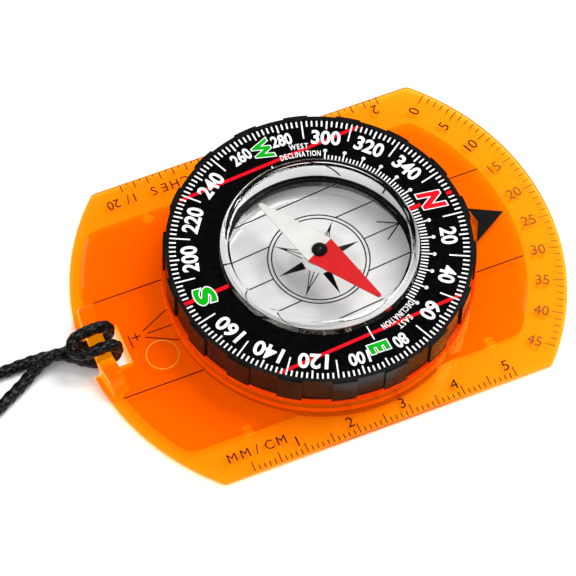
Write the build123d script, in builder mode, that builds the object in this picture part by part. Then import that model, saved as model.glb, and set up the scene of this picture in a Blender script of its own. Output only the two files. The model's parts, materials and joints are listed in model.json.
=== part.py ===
"""Baseplate map compass with a turning bezel, a declination capsule and a neck lanyard.

Frame: millimetres, +Z up.  The origin is on the bezel's axis at the level the feet rest on.
+Y is the direction of travel, +X is the side of the centimetre scale.
Everything is built in the pose it rests in: the bezel, the capsule and the needle are
each turned about +Z by the angles named below.
"""
from build123d import *
from math import cos, pi, radians, sin, sqrt, tan
import os

os.makedirs("parts", exist_ok=True)

# ---------------------------------------------------------------- driving dimensions
# base plate
plate_half_width = 31.8  # bezel axis to either straight scale edge
front_radius = 44.85  # scale arc at the travel end
rear_radius = 44.4  # arc at the lanyard end
plate_corner_radius = 1.6
foot_height = 0.3  # how far the feet stand proud of the plate's underside
border_thickness = 1.0  # thin border that carries the scales
edge_rounding = 0.2
panel_thickness = 1.8  # raised inner panel, measured from the plate's underside
side_border = 7.5  # widths of the border beside, before and behind the panel
front_border = 7.15
rear_border = 2.1
panel_corner_radius = 3.2
panel_bevel = 0.55
collar_radius = 28.1  # outside of the upstanding ring round the bezel's foot
collar_wall = 1.45
collar_height = 5.8  # above the plate's underside
collar_rounding = 0.35

# feet
foot_radius = 1.1
foot_spacing = 46.7  # centre to centre, both ways
foot_recess = 0.5
foot_chamfer = 0.1

# lanyard arch over the notch in the rear edge
arch_centre_x = -0.35
arch_base_width = 19.5
arch_top_width = 15.0
arch_setback = 0.8  # from the plate's rear edge to the bar's outer face
arch_bar_width = 2.9
arch_height = 5.6  # above the plate's underside
arch_bar_thickness = 1.7
arch_rounding = 0.5
arch_shoulder_radius = 1.2
notch_width = 8.2
notch_corner = 0.8  # slanted corners where the notch meets the bar
notch_reach = 3.6  # how far the notch goes on in front of the bar

# bezel
bezel_turn = 3.9  # degrees counter-clockwise
grip_setback = 0.35  # outermost grip inside the collar's outer face
grip_groove_depth = 0.4
grip_lobes = 18
grip_lobe_angle = 9.2
grip_first_lobe = -8.0  # degrees from the dial's north to a lobe's middle
grip_lobe_step = 0.2  # lobes end this far under the lip
grip_lobe_root = 0.3  # and go this deep into the ring's core
grip_top = 12.2  # above the plate's underside
lip_width = 0.7
dial_depth = 0.7  # recess inside the lip that holds the printed dial
dial_thickness = 0.38
dial_ledge_width = 1.65
hub_wall = 1.6
web_thickness = 1.1
ledge_width = 1.15  # ledge under the capsule's rim
ledge_rise = 0.8  # its top above the web's underside
ledge_thickness = 0.65
hub_foot_width = 0.45  # how far the hub's lower end stands inside its bore

# bezel retention
retainer_groove = 0.65  # depth of the seat cut into the hub
retainer_reach = 1.57  # how far the ring goes out under the plate
retainer_thickness = 0.6
friction_thickness = 0.65
friction_chamfer = 0.12

# capsule
declination_now = 1.0  # degrees counter-clockwise of the dial's own north
capsule_radius = 17.65
capsule_wall = 1.05
capsule_floor = 0.95
flange_width = 0.95
flange_thickness = 0.85
lens_proud = 1.9  # lens top above the bezel's lip
lens_edge_height = 2.1
lens_thickness = 1.1
lens_rim = 0.2  # height of the raised rim round the lens
lens_rim_width = 1.35
lens_rim_slope = 0.3
lens_bevel = 0.5
o_ring_section = 0.86
o_ring_height = 2.7  # above the cup's underside
plug_radius = 0.8
plug_from_north = 72.0  # degrees counter-clockwise of the capsule's arrow
plug_recess = 0.1  # below the wall's faces, inside and outside

# needle and pivot
needle_azimuth = 64.3  # degrees clockwise from the direction of travel
needle_reach = 14.2
needle_half_width = 3.1
needle_tip_half_width = 0.45
needle_thickness = 0.25
needle_hub_radius = 3.0
needle_hub_thickness = 0.8
magnet_outer_radius = 2.5
magnet_inner_radius = 1.05
magnet_thickness = 0.55
cap_radius = 1.4
cap_height = 1.2
cap_rim = 0.25  # straight side under the dome
cap_headroom = 2.15  # hub cap to the lens
jewel_radius = 0.7
jewel_height = 0.56
jewel_cone_height = 0.3
jewel_mouth_radius = 0.35
pin_radius = 0.3
pin_point_length = 0.7
pin_point_radius = 0.04
pivot_seat_radius = 1.5
pivot_seat_height = 1.5
pivot_seat_rim = 0.4
pivot_gap = 0.04

# lanyard
cord_diameter = 2.3
coil_centre = (-20.0, -76.5)
coil_outer_radius = 18.6
coil_inner_radius = 5.9
coil_height = 4.65
floor_gap = 0.05
tie_width = 3.0
tie_thickness = 0.5
tie_angle = 240.0
knot_radius = 3.3
knot_height = 4.9
knot_flat_share = 0.6  # flat top and bottom of the knot, as a share of its radius

# clearances
bearing_clearance = 0.08  # radial, where one piece turns in another
axial_clearance = 0.1
skirt_clearance = 0.25  # bezel skirt inside the collar
grip_clearance = 0.15  # grip over the collar's top edge
foot_clearance = 0.05
retainer_setback = 0.2  # retaining ring above the plate's underside
retainer_side_clearance = 0.3
retainer_top_clearance = 0.15
friction_clearance = 0.7  # friction ring to the bore, and to the collar
dial_clearance = 0.05
capsule_clearance = 0.4  # capsule wall inside the bezel's hub
dial_to_capsule = 0.15
o_ring_clearance = 0.03  # O-ring inside the hub
groove_clearance = 0.02  # O-ring over its groove's floor
groove_side_clearance = 0.05
magnet_clearance = 0.05
jewel_clearance = 0.05
jewel_lift = 0.02  # jewel above the blades' top
jewel_headroom = 0.04
pin_end_clearance = 0.05
tie_clearance = 0.05

# ---------------------------------------------------------------- levels and shared fits
plate_bottom = foot_height
border_top = plate_bottom + border_thickness
panel_top = plate_bottom + panel_thickness
collar_top = plate_bottom + collar_height
collar_inner_radius = collar_radius - collar_wall
hub_inner_radius = capsule_radius + capsule_clearance
hub_radius = hub_inner_radius + hub_wall
bore_radius = hub_radius + bearing_clearance

friction_top = panel_top + friction_thickness
web_bottom = friction_top + axial_clearance
web_top = web_bottom + web_thickness
skirt_radius = collar_inner_radius - skirt_clearance
grip_radius = collar_radius - grip_setback
core_radius = grip_radius - grip_groove_depth
grip_bottom = collar_top + grip_clearance
bezel_top = plate_bottom + grip_top
lip_inner_radius = core_radius - lip_width
dial_bottom = bezel_top - dial_depth
trough_radius = lip_inner_radius - dial_ledge_width

retainer_seat = hub_radius - retainer_groove
retainer_radius = bore_radius + retainer_reach
retainer_bottom = plate_bottom + retainer_setback
retainer_top = retainer_bottom + retainer_thickness
retainer_recess_top = retainer_top + retainer_top_clearance

flange_radius = capsule_radius + flange_width
flange_top = dial_bottom - axial_clearance
flange_bottom = flange_top - flange_thickness
flange_seat_radius = flange_radius + bearing_clearance
flange_seat = flange_bottom - axial_clearance
ledge_top = web_bottom + ledge_rise
ledge_bottom = ledge_top - ledge_thickness
cup_bottom = ledge_top + axial_clearance
floor_top = cup_bottom + capsule_floor
lens_top = bezel_top + lens_proud
lens_bottom = lens_top - lens_thickness - lens_rim
cup_top = lens_top - lens_edge_height
capsule_inner_radius = capsule_radius - capsule_wall
o_ring_z = cup_bottom + o_ring_height
o_ring_radius = hub_inner_radius - o_ring_clearance - o_ring_section / 2
groove_radius = o_ring_radius - o_ring_section / 2 - groove_clearance
groove_half_width = o_ring_section / 2 + groove_side_clearance

seat_top = floor_top + pivot_seat_height
blade_top = lens_bottom - cap_headroom - cap_height
hub_disc_top = blade_top - needle_thickness
hub_disc_bottom = hub_disc_top - needle_hub_thickness
needle_bore = jewel_radius + jewel_clearance
cap_bore_height = jewel_lift + jewel_height + jewel_headroom
jewel_bottom = blade_top + jewel_lift
pin_tip = jewel_bottom + jewel_cone_height - pivot_gap

coil_bottom = floor_gap
coil_top = coil_bottom + coil_height


def finish(piece, name):
    """Label a finished piece and write it as its own STEP file."""
    piece.part.label = name
    export_step(piece.part, f"parts/{name}.step")
    print(f"{name}: volume {piece.part.volume:.1f} mm3")


# ---------------------------------------------------------------- base plate: thin border
rear_corner_y = sqrt(rear_radius**2 - plate_half_width**2)
front_corner_y = sqrt(front_radius**2 - plate_half_width**2)
with BuildPart() as border:
    with BuildSketch(Plane.XY.offset(plate_bottom)) as border_outline:
        with BuildLine():
            ThreePointArc(
                (-plate_half_width, -rear_corner_y),
                (0, -rear_radius),
                (plate_half_width, -rear_corner_y),
            )
            Line((plate_half_width, -rear_corner_y), (plate_half_width, front_corner_y))
            ThreePointArc(
                (plate_half_width, front_corner_y),
                (0, front_radius),
                (-plate_half_width, front_corner_y),
            )
            Line((-plate_half_width, front_corner_y), (-plate_half_width, -rear_corner_y))
        make_face()
        fillet(border_outline.vertices(), plate_corner_radius)
    extrude(amount=border_thickness)
    border_rims = border.faces().filter_by(Axis.Z).edges()
    fillet(border_rims, edge_rounding)

# ---------------------------------------------------------------- base plate: raised panel
panel_half_width = plate_half_width - side_border
panel_front_radius = front_radius - front_border
panel_rear_radius = rear_radius - rear_border
panel_rear_y = sqrt(panel_rear_radius**2 - panel_half_width**2)
panel_front_y = sqrt(panel_front_radius**2 - panel_half_width**2)
with BuildPart() as panel:
    with BuildSketch(Plane.XY.offset(plate_bottom)) as panel_outline:
        with BuildLine():
            ThreePointArc(
                (-panel_half_width, -panel_rear_y),
                (0, -panel_rear_radius),
                (panel_half_width, -panel_rear_y),
            )
            Line((panel_half_width, -panel_rear_y), (panel_half_width, panel_front_y))
            ThreePointArc(
                (panel_half_width, panel_front_y),
                (0, panel_front_radius),
                (-panel_half_width, panel_front_y),
            )
            Line((-panel_half_width, panel_front_y), (-panel_half_width, -panel_rear_y))
        make_face()
        fillet(panel_outline.vertices(), panel_corner_radius)
    extrude(amount=panel_thickness)
    chamfer(panel.faces().sort_by(Axis.Z)[-1].edges(), panel_bevel)

# ---------------------------------------------------------------- base plate: lanyard arch
arch_top = plate_bottom + arch_height
arch_underside = arch_top - arch_bar_thickness
arch_outer_radius = rear_radius - arch_setback
arch_inner_radius = arch_outer_radius - arch_bar_width
arch_blank = 3.0  # spare length that the two arcs trim off the straight bar
with BuildPart() as arch:
    with BuildSketch(Plane.XZ.offset(arch_inner_radius - arch_blank)) as arch_profile:
        with BuildLine():
            Polyline(
                (arch_centre_x - arch_base_width / 2, plate_bottom),
                (arch_centre_x - arch_base_width / 2, border_top),
                (arch_centre_x - arch_top_width / 2, arch_top),
                (arch_centre_x + arch_top_width / 2, arch_top),
                (arch_centre_x + arch_base_width / 2, border_top),
                (arch_centre_x + arch_base_width / 2, plate_bottom),
                close=True,
            )
        make_face()
        arch_shoulders = arch_profile.vertices().group_by(Axis.Y)[-1]
        fillet(arch_shoulders, arch_shoulder_radius)
        with BuildLine():
            Polyline(
                (arch_centre_x - notch_width / 2, plate_bottom),
                (arch_centre_x - notch_width / 2, arch_underside - notch_corner),
                (arch_centre_x - notch_width / 2 + notch_corner, arch_underside),
                (arch_centre_x + notch_width / 2 - notch_corner, arch_underside),
                (arch_centre_x + notch_width / 2, arch_underside - notch_corner),
                (arch_centre_x + notch_width / 2, plate_bottom),
                close=True,
            )
        make_face(mode=Mode.SUBTRACT)
    extrude(amount=arch_bar_width + 2 * arch_blank)
    with BuildSketch(Plane.XY):
        Circle(arch_outer_radius)
        Circle(arch_inner_radius, mode=Mode.SUBTRACT)
    extrude(amount=arch_top, mode=Mode.INTERSECT)
    fillet(arch.faces().sort_by(Axis.Z)[-1].edges(), arch_rounding)
    bar_underside = arch.faces().filter_by(Axis.Z).group_by(Axis.Z)[-2]
    fillet(bar_underside.edges().filter_by(GeomType.CIRCLE), arch_rounding)

# ---------------------------------------------------------------- base plate: whole moulding
with BuildPart() as base_plate:
    add(border.part)
    add(panel.part)
    with BuildSketch(Plane.XY.offset(plate_bottom)):
        Circle(collar_radius)
    extrude(amount=collar_height)
    fillet(base_plate.faces().sort_by(Axis.Z)[-1].edges(), collar_rounding)
    with BuildSketch(Plane.XY.offset(panel_top)):
        Circle(collar_inner_radius)
    extrude(amount=collar_height, mode=Mode.SUBTRACT)
    with BuildSketch(Plane.XY.offset(plate_bottom)):
        Circle(bore_radius)
    extrude(amount=collar_height, mode=Mode.SUBTRACT)
    with BuildSketch(Plane.XY.offset(plate_bottom)):
        Circle(retainer_radius + retainer_side_clearance)
    extrude(amount=retainer_recess_top - plate_bottom, mode=Mode.SUBTRACT)
    with BuildSketch(Plane.XY.offset(plate_bottom)):
        with GridLocations(foot_spacing, foot_spacing, 2, 2):
            Circle(foot_radius + foot_clearance)
    extrude(amount=foot_recess, mode=Mode.SUBTRACT)
    with BuildSketch(Plane.XY.offset(plate_bottom)):
        with Locations((arch_centre_x, notch_reach - arch_inner_radius)):
            Rectangle(notch_width, rear_radius, align=(Align.CENTER, Align.MAX))
    extrude(amount=panel_thickness, mode=Mode.SUBTRACT)
    add(arch.part)
finish(base_plate, "base_plate")

# ---------------------------------------------------------------- feet
for foot_number, (x_side, y_side) in enumerate(((-1, -1), (1, -1), (1, 1), (-1, 1)), start=1):
    with BuildPart() as foot_pad:
        with BuildSketch(Plane(origin=(x_side * foot_spacing / 2, y_side * foot_spacing / 2, 0))):
            Circle(foot_radius)
        extrude(amount=foot_height + foot_recess)
        chamfer(foot_pad.faces().sort_by(Axis.Z)[0].edges(), foot_chamfer)
    finish(foot_pad, f"foot_pad_{foot_number}")

# ---------------------------------------------------------------- friction ring under the bezel
with BuildPart() as friction_ring:
    with BuildSketch(Plane.XY.offset(panel_top)):
        Circle(collar_inner_radius - friction_clearance)
        Circle(bore_radius + friction_clearance, mode=Mode.SUBTRACT)
    extrude(amount=friction_thickness)
    chamfer(friction_ring.faces().sort_by(Axis.Z)[-1].edges(), friction_chamfer)
finish(friction_ring, "friction_ring")

# ---------------------------------------------------------------- bezel ring
with BuildPart() as bezel_ring:
    with BuildSketch(Plane.XZ):
        with BuildLine():
            Polyline(
                (hub_inner_radius - hub_foot_width, retainer_bottom),
                (retainer_seat, retainer_bottom),
                (retainer_seat, retainer_top),
                (hub_radius, retainer_top),
                (hub_radius, web_bottom),
                (skirt_radius, web_bottom),
                (skirt_radius, grip_bottom),
                (core_radius, grip_bottom),
                (core_radius, bezel_top),
                (lip_inner_radius, bezel_top),
                (lip_inner_radius, dial_bottom),
                (trough_radius, dial_bottom),
                (trough_radius, web_top),
                (hub_radius, web_top),
                (hub_radius, dial_bottom),
                (flange_seat_radius, dial_bottom),
                (flange_seat_radius, flange_seat),
                (hub_inner_radius, flange_seat),
                (hub_inner_radius, ledge_top),
                (hub_inner_radius - ledge_width, ledge_top),
                (hub_inner_radius - ledge_width, ledge_bottom),
                (hub_inner_radius - hub_foot_width, ledge_bottom),
                close=True,
            )
        make_face()
    revolve(axis=Axis.Z)
    lobe_start = 90 + bezel_turn + grip_first_lobe - grip_lobe_angle / 2
    for lobe_number in range(grip_lobes):
        lobe_angle = lobe_start + lobe_number * 360 / grip_lobes
        with BuildSketch(Plane.XY.offset(grip_bottom)):
            with BuildLine():
                outer = CenterArc((0, 0), grip_radius, lobe_angle, grip_lobe_angle)
                inner = CenterArc((0, 0), core_radius - grip_lobe_root, lobe_angle, grip_lobe_angle)
                Line(outer @ 0, inner @ 0)
                Line(outer @ 1, inner @ 1)
            make_face()
        extrude(amount=bezel_top - grip_lobe_step - grip_bottom)
finish(bezel_ring, "bezel_ring")

# ---------------------------------------------------------------- dial face
with BuildPart() as dial_face:
    with BuildSketch(Plane.XY.offset(dial_bottom)):
        Circle(lip_inner_radius - dial_clearance)
        Circle(capsule_radius + dial_to_capsule, mode=Mode.SUBTRACT)
    extrude(amount=dial_thickness)
finish(dial_face, "dial_face")

# ---------------------------------------------------------------- retaining ring under the plate
with BuildPart() as retaining_ring:
    with BuildSketch(Plane.XY.offset(retainer_bottom)):
        Circle(retainer_radius)
        Circle(retainer_seat, mode=Mode.SUBTRACT)
    extrude(amount=retainer_thickness)
finish(retaining_ring, "retaining_ring")

# ---------------------------------------------------------------- capsule cup
plug_z = (o_ring_z + groove_half_width + flange_bottom) / 2
plug_angle = 90 + bezel_turn + declination_now + plug_from_north
plug_plane = Plane(
    origin=(0, 0, plug_z),
    x_dir=(-sin(radians(plug_angle)), cos(radians(plug_angle)), 0),
    z_dir=(cos(radians(plug_angle)), sin(radians(plug_angle)), 0),
)
with BuildPart() as capsule_cup:
    with BuildSketch(Plane.XZ):
        with BuildLine():
            Polyline(
                (0, cup_bottom),
                (capsule_radius, cup_bottom),
                (capsule_radius, o_ring_z - groove_half_width),
                (groove_radius, o_ring_z - groove_half_width),
                (groove_radius, o_ring_z + groove_half_width),
                (capsule_radius, o_ring_z + groove_half_width),
                (capsule_radius, flange_bottom),
                (flange_radius, flange_bottom),
                (flange_radius, flange_top),
                (capsule_radius, flange_top),
                (capsule_radius, cup_top),
                (capsule_inner_radius, cup_top),
                (capsule_inner_radius, floor_top),
                (0, floor_top),
                close=True,
            )
        make_face()
    revolve(axis=Axis.Z)
    with BuildSketch(plug_plane.offset(capsule_inner_radius - plug_recess)):
        Circle(plug_radius)
    extrude(amount=capsule_wall + 2 * plug_recess, mode=Mode.SUBTRACT)
finish(capsule_cup, "capsule_cup")

# ---------------------------------------------------------------- filling plug in the cup's wall
with BuildPart() as filling_plug:
    with BuildSketch(plug_plane.offset(capsule_inner_radius + plug_recess)):
        Circle(plug_radius)
    extrude(amount=capsule_wall - 2 * plug_recess)
finish(filling_plug, "filling_plug")

# ---------------------------------------------------------------- capsule lens
with BuildPart() as capsule_lens:
    with BuildSketch(Plane.XZ):
        with BuildLine():
            Polyline(
                (0, lens_bottom),
                (capsule_inner_radius, lens_bottom),
                (capsule_inner_radius, cup_top),
                (capsule_radius, cup_top),
                (capsule_radius, lens_top - lens_bevel),
                (capsule_radius - lens_bevel, lens_top),
                (capsule_radius - lens_rim_width, lens_top),
                (capsule_radius - lens_rim_width - lens_rim_slope, lens_top - lens_rim),
                (0, lens_top - lens_rim),
                close=True,
            )
        make_face()
    revolve(axis=Axis.Z)
finish(capsule_lens, "capsule_lens")

# ---------------------------------------------------------------- declination O-ring
with BuildPart() as declination_o_ring:
    with BuildSketch(Plane.XZ):
        with Locations((o_ring_radius, o_ring_z)):
            Circle(o_ring_section / 2)
    revolve(axis=Axis.Z)
finish(declination_o_ring, "declination_o_ring")

# ---------------------------------------------------------------- pivot seat and pin
with BuildPart() as pivot_seat:
    with BuildSketch(Plane.XZ):
        with BuildLine():
            Polyline(
                (pin_radius, floor_top),
                (pivot_seat_radius, floor_top),
                (pivot_seat_radius, floor_top + pivot_seat_rim),
                (pin_radius + pivot_seat_rim, seat_top),
                (pin_radius, seat_top),
                close=True,
            )
        make_face()
    revolve(axis=Axis.Z)
finish(pivot_seat, "pivot_seat")

with BuildPart() as pivot_pin:
    with BuildSketch(Plane.XZ):
        with BuildLine():
            Polyline(
                (0, floor_top + pin_end_clearance),
                (pin_radius, floor_top + pin_end_clearance),
                (pin_radius, pin_tip - pin_point_length),
                (pin_point_radius, pin_tip),
                (0, pin_tip),
                close=True,
            )
        make_face()
    revolve(axis=Axis.Z)
finish(pivot_pin, "pivot_pin")

# ---------------------------------------------------------------- needle hub and magnet
with BuildPart() as needle_hub:
    with BuildSketch(Plane.XY.offset(hub_disc_bottom)):
        Circle(needle_hub_radius)
        Circle(needle_bore, mode=Mode.SUBTRACT)
    extrude(amount=needle_hub_thickness)
    with BuildSketch(Plane.XY.offset(hub_disc_bottom)):
        Circle(magnet_outer_radius + magnet_clearance)
        Circle(magnet_inner_radius - magnet_clearance, mode=Mode.SUBTRACT)
    extrude(amount=magnet_thickness, mode=Mode.SUBTRACT)
finish(needle_hub, "needle_hub")

with BuildPart() as needle_magnet:
    with BuildSketch(Plane.XY.offset(hub_disc_bottom)):
        Circle(magnet_outer_radius)
        Circle(magnet_inner_radius, mode=Mode.SUBTRACT)
    extrude(amount=magnet_thickness)
finish(needle_magnet, "needle_magnet")

# ---------------------------------------------------------------- needle blades
needle_plane = Plane(origin=(0, 0, hub_disc_top)).rotated((0, 0, -needle_azimuth))
for blade_name, end_sign in (("needle_north", 1), ("needle_south", -1)):
    with BuildPart() as blade:
        with BuildSketch(needle_plane):
            with BuildLine():
                tip_y = end_sign * (needle_reach - needle_tip_half_width)
                Polyline(
                    (-needle_tip_half_width, tip_y),
                    (-needle_half_width, 0),
                    (needle_half_width, 0),
                    (needle_tip_half_width, tip_y),
                )
                ThreePointArc(
                    (needle_tip_half_width, tip_y),
                    (0, end_sign * needle_reach),
                    (-needle_tip_half_width, tip_y),
                )
            make_face()
            Circle(needle_bore, mode=Mode.SUBTRACT)
        extrude(amount=needle_thickness)
    finish(blade, blade_name)

# ---------------------------------------------------------------- jewel bearing and hub cap
with BuildPart() as jewel_bearing:
    with BuildSketch(Plane.XZ):
        with BuildLine():
            Polyline(
                (jewel_mouth_radius, jewel_bottom),
                (jewel_radius, jewel_bottom),
                (jewel_radius, jewel_bottom + jewel_height),
                (0, jewel_bottom + jewel_height),
                (0, jewel_bottom + jewel_cone_height),
                close=True,
            )
        make_face()
    revolve(axis=Axis.Z)
finish(jewel_bearing, "jewel_bearing")

with BuildPart() as hub_cap:
    with BuildSketch(Plane.XZ):
        with BuildLine():
            Line((jewel_radius, blade_top), (cap_radius, blade_top))
            Line((cap_radius, blade_top), (cap_radius, blade_top + cap_rim))
            TangentArc((0, blade_top + cap_height), (cap_radius, blade_top + cap_rim), tangent=(1, 0))
            Line((0, blade_top + cap_height), (0, blade_top + cap_bore_height))
            Line((0, blade_top + cap_bore_height), (jewel_radius, blade_top + cap_bore_height))
            Line((jewel_radius, blade_top + cap_bore_height), (jewel_radius, blade_top))
        make_face()
    revolve(axis=Axis.Z)
finish(hub_cap, "hub_cap")

# ---------------------------------------------------------------- lanyard coil and its tie
coil_x, coil_y = coil_centre
tie_plane = Plane(
    origin=(coil_x, coil_y, 0),
    x_dir=(cos(radians(tie_angle)), sin(radians(tie_angle)), 0),
    z_dir=(-sin(radians(tie_angle)), cos(radians(tie_angle)), 0),
)
tie_low = coil_bottom + tie_thickness
tie_high = coil_top + tie_clearance
tie_inside = coil_inner_radius - tie_clearance
tie_outside = coil_outer_radius + tie_clearance
with BuildPart() as lanyard_tie:
    with BuildSketch(tie_plane.offset(-tie_width / 2)):
        with BuildLine():
            Polyline(
                (tie_inside - tie_thickness, -coil_bottom),
                (tie_outside + tie_thickness, -coil_bottom),
                (tie_outside + tie_thickness, -tie_high - tie_thickness),
                (tie_inside - tie_thickness, -tie_high - tie_thickness),
                close=True,
            )
        make_face()
        with BuildLine():
            Polyline(
                (tie_inside, -tie_low),
                (tie_outside, -tie_low),
                (tie_outside, -tie_high),
                (tie_inside, -tie_high),
                close=True,
            )
        make_face(mode=Mode.SUBTRACT)
    extrude(amount=tie_width)
finish(lanyard_tie, "lanyard_tie")

coil_rounding = 0.9 * cord_diameter / 2
with BuildPart() as coil_ring:
    with BuildSketch(Plane.XY.offset(coil_bottom)):
        with Locations(coil_centre):
            Circle(coil_outer_radius)
            Circle(coil_inner_radius, mode=Mode.SUBTRACT)
    extrude(amount=coil_height)
    fillet(coil_ring.faces().filter_by(Axis.Z).edges(), coil_rounding)

with BuildPart() as lanyard_coil:
    add(coil_ring.part)
    add(lanyard_tie.part, mode=Mode.SUBTRACT)
finish(lanyard_coil, "lanyard_coil")

# ---------------------------------------------------------------- end knot inside the coil
knot_leg_low = floor_gap + cord_diameter / 2
knot_leg_high = coil_top - cord_diameter / 2
knot_top = floor_gap + knot_height
knot_flat_radius = knot_radius * knot_flat_share
with BuildPart() as lanyard_knot:
    with BuildSketch(Plane.XZ):
        with BuildLine():
            Line((0, floor_gap), (knot_flat_radius, floor_gap))
            ThreePointArc(
                (knot_flat_radius, floor_gap),
                (knot_radius, floor_gap + knot_height / 2),
                (knot_flat_radius, knot_top),
            )
            Line((knot_flat_radius, knot_top), (0, knot_top))
            Line((0, knot_top), (0, floor_gap))
        make_face()
    revolve(axis=Axis.Z)
    for leg_z, leg_direction in ((knot_leg_low, -1), (knot_leg_high, 1)):
        leg_plane = Plane(origin=(0, 0, leg_z), x_dir=(0, 1, 0), z_dir=(leg_direction, 0, 0))
        with BuildSketch(leg_plane):
            Circle(cord_diameter / 2)
        extrude(amount=coil_inner_radius + cord_diameter / 2)
lanyard_knot.part.position = (coil_x, coil_y, 0)
with BuildPart() as knot_in_place:
    add(lanyard_knot.part)
    add(coil_ring.part, mode=Mode.SUBTRACT)
finish(knot_in_place, "lanyard_knot")

# ---------------------------------------------------------------- lanyard strands
# Each strand starts at the middle of the hitch's bight, goes over the arch's bar, down
# through the notch, back under the bar and the bight, and along the surface to the coil.
lying = floor_gap + cord_diameter / 2
on_coil = knot_leg_high - tie_clearance
left_route = [
    Vector(-0.35, -46.9, 6.9),
    Vector(-2.8, -46.9, 6.9),
    Vector(-2.75, -38.9, 7.65),
    Vector(-2.6, -38.95, 2.3),
    Vector(-2.4, -43.9, 1.95),
    Vector(-1.75, -47.9, lying),
    Vector(-3.3, -53.6, lying),
    Vector(-3.2, -60.4, lying),
    Vector(-3.9, -67.8, lying),
    Vector(-2.65, -76.5, lying),
]
right_route = [
    Vector(-0.35, -46.9, 6.9),
    Vector(2.1, -46.9, 6.9),
    Vector(2.05, -38.9, 7.65),
    Vector(1.9, -38.95, 2.3),
    Vector(1.7, -43.9, 1.95),
    Vector(0.85, -48.2, lying),
    Vector(-0.6, -53.4, lying),
    Vector(2.7, -61.0, lying),
    Vector(6.3, -68.0, lying),
    Vector(5.9, -78.5, lying + 0.2),
    Vector(-0.9, -87.0, on_coil),
    Vector(-9.9, -92.2, on_coil),
]


def corner_radii(route):
    """Largest arc each corner's two runs allow, with a little straight left on both.

    The first run is half of the bight's own run, which goes on in the other strand.
    """
    share_of_run = 0.45  # of the shorter run, on each side of a corner
    runs = [after - before for before, after in zip(route, route[1:])]
    lengths = [2 * runs[0].length] + [run.length for run in runs[1:]]
    radii = []
    for corner in range(len(runs) - 1):
        half_turn = radians(runs[corner].get_angle(runs[corner + 1])) / 2
        shorter_run = min(lengths[corner], lengths[corner + 1])
        radii.append(share_of_run * shorter_run / tan(half_turn))
    return radii


for strand_name, route in (("lanyard_left", left_route), ("lanyard_right", right_route)):
    radii = corner_radii(route)
    with BuildPart() as strand:
        with BuildLine():
            centre_line = FilletPolyline(*route, radius=radii)
        with BuildSketch(Plane(origin=centre_line @ 0, z_dir=centre_line % 0)):
            Circle(cord_diameter / 2)
        sweep()
    section = pi * cord_diameter**2 / 4
    swept_share = strand.part.volume / (section * centre_line.length)
    print(f"{strand_name}: arc radii in mm", [round(radius, 2) for radius in radii])
    print(f"{strand_name}: length {centre_line.length:.1f} mm, volume share {swept_share:.4f}")
    with BuildPart() as strand_to_coil:
        add(strand.part)
        add(coil_ring.part, mode=Mode.SUBTRACT)
    finish(strand_to_coil, strand_name)
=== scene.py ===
"""Looks of a baseplate map compass: scales, dial print, liquid capsule, needle and lanyard.

Sizes are named in millimetres and turned into metres by MM.  The azimuths of marks and lamps
are in degrees, clockwise from +Y, the direction of travel, as on a compass.
"""

import json
from math import cos, pi, radians, sin, sqrt

import bmesh
import bpy
from mathutils import Matrix, Vector


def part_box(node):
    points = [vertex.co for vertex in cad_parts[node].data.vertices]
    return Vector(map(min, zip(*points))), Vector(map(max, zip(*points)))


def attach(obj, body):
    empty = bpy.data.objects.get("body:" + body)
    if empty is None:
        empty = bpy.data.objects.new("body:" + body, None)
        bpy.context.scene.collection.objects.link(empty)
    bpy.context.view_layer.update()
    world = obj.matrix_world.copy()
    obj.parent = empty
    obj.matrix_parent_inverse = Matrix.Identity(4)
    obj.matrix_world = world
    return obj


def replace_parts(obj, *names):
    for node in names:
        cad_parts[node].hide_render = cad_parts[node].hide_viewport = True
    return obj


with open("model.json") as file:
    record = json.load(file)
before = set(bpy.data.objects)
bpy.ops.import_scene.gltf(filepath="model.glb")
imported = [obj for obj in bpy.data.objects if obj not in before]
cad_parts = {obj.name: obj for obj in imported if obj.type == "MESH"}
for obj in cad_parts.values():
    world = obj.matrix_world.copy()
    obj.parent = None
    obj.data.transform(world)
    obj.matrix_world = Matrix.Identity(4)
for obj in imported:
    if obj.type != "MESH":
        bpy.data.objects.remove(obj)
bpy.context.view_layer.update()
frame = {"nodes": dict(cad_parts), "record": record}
scene = bpy.context.scene
MM = 0.001

# ------------------------------------------------------------------ places, from the frame
panel_rise = 0.8  # the plate's middle panel stands that far above its border
panel_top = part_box("friction_ring")[0].z / MM
border_top = panel_top - panel_rise
dial_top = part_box("dial_face")[1].z / MM
capsule_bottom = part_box("capsule_cup")[0].z / MM
capsule_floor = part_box("pivot_seat")[0].z / MM
lens_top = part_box("capsule_lens")[1].z / MM
capsule_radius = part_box("capsule_lens")[1].x / MM
flange_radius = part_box("capsule_cup")[1].x / MM
bezel_turn = 3.9  # degrees counter-clockwise
capsule_turn = 4.9

# ------------------------------------------------------------------ camera
camera_azimuth = radians(64.367)  # counter-clockwise from -Y
camera_elevation = radians(59.644)
camera_roll = radians(2.980)
camera_distance = 607.99
camera_aim = (-5.303, -1.704)  # along the picture's right and up, from the bezel's axis
camera_lens = 211.99
sensor_width = 36


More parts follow.
